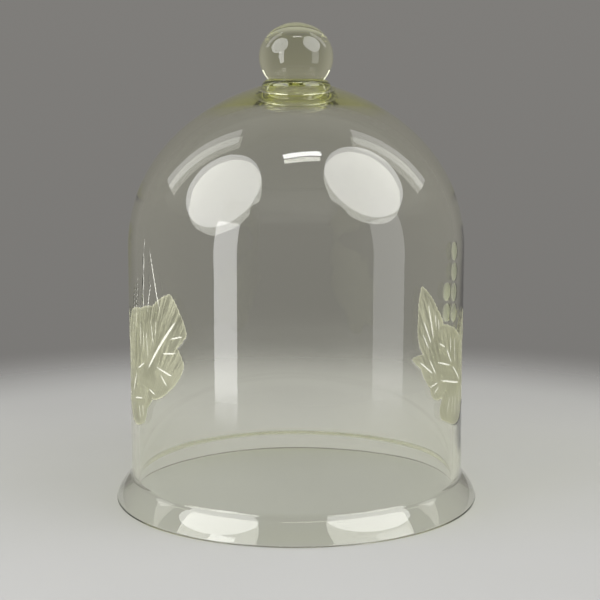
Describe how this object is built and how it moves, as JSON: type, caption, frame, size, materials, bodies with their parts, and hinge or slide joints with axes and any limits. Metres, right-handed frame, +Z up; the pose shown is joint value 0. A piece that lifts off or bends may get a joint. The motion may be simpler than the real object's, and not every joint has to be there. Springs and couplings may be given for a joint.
{
  "type": "bell jar dome",
  "caption": "Blown-glass display bell with a flared foot, a solid ball knob on a fused collar, and wheel-engraved vine leaves and grapes on its sides.",
  "frame": {"origin": "centre of the standing rim, on the surface that the bell stands on", "axes": "+Z up along the bell's axis, -Y towards the front, and the engraved leaves to either side along X"},
  "size_m": [0.1778, 0.1778, 0.2305],
  "materials": {
    "bell_glass": "fire-polished clear glass with a faint yellow-green tint, frosted inside the engraving",
    "knob_glass": "solid fire-polished clear glass with a faint yellow-green tint"
  },
  "bodies": {
    "root": {"bell_shell": "bell_glass", "knob_disc": "knob_glass", "knob_collar": "knob_glass", "knob_ball": "knob_glass"}
  },
  "joints": []
}
